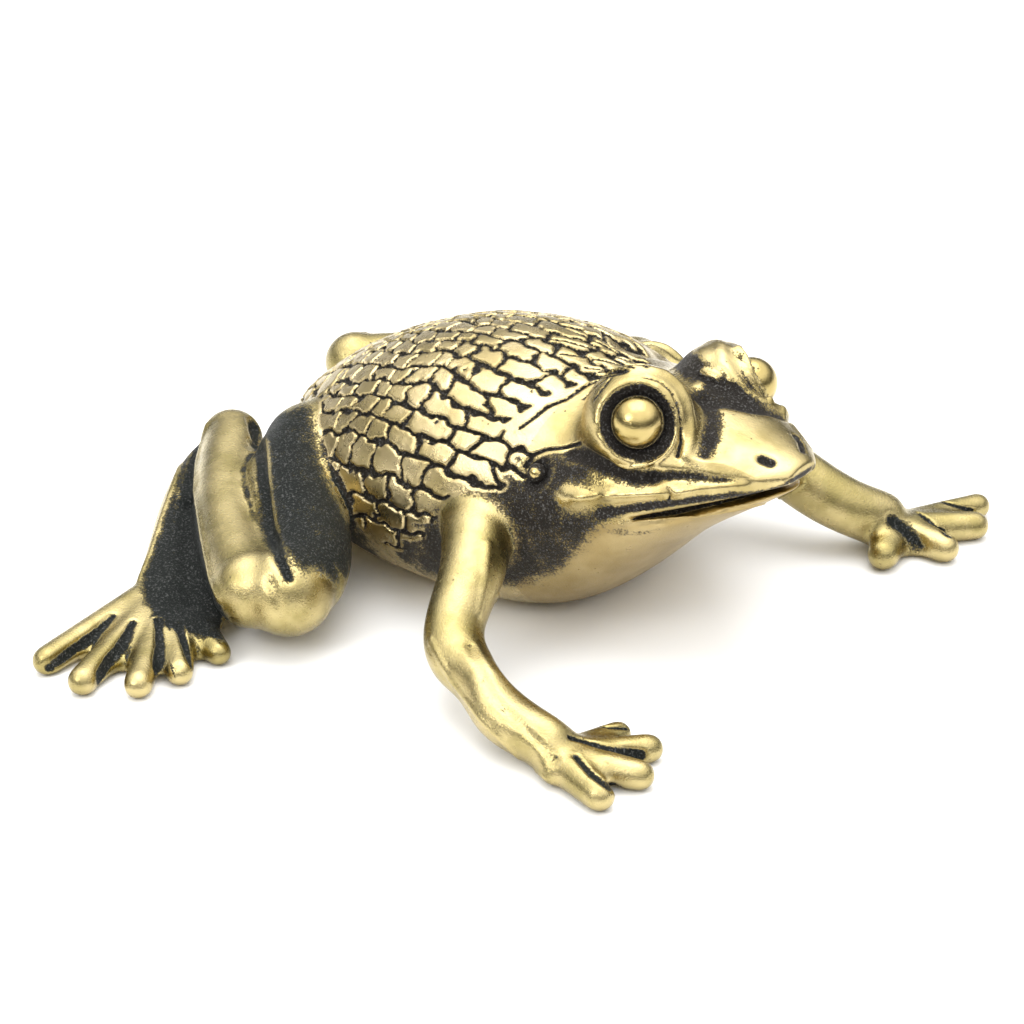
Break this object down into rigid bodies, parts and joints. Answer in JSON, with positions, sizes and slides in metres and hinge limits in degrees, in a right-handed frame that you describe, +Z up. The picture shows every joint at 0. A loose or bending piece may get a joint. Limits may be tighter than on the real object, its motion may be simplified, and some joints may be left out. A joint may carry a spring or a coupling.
{
  "type": "frog figurine",
  "caption": "Small solid brass frog that sits with spread legs and a raised head, with a carved scaly back, bulging eyes and a dark patina in its recesses.",
  "frame": {"origin": "on the ground under the middle of the whole figure's outline", "axes": "+X where the frog looks, +Y to the frog's left, +Z up"},
  "size_m": [0.0654, 0.0822, 0.0262],
  "materials": {
    "carved_brass": "cast brass, dark patina in the carved grooves, plates rubbed bright",
    "face_brass": "cast brass, polished on brows and snout, dark round the eyes and under the cheeks",
    "belly_brass": "cast brass, satin, with speckled dark patina on the throat",
    "polished_brass": "polished brass beads",
    "limb_brass": "cast brass, polished on the outside of the limbs, dark between the folds and toes"
  },
  "bodies": {
    "root": {"torso": "carved_brass", "head": "face_brass", "lower_jaw": "belly_brass", "right_eyeball": "polished_brass", "left_eyeball": "polished_brass", "right_eardrum": "polished_brass", "left_eardrum": "polished_brass", "right_foreleg": "limb_brass", "left_foreleg": "limb_brass", "right_hind_leg": "limb_brass", "left_hind_leg": "limb_brass"}
  },
  "joints": []
}
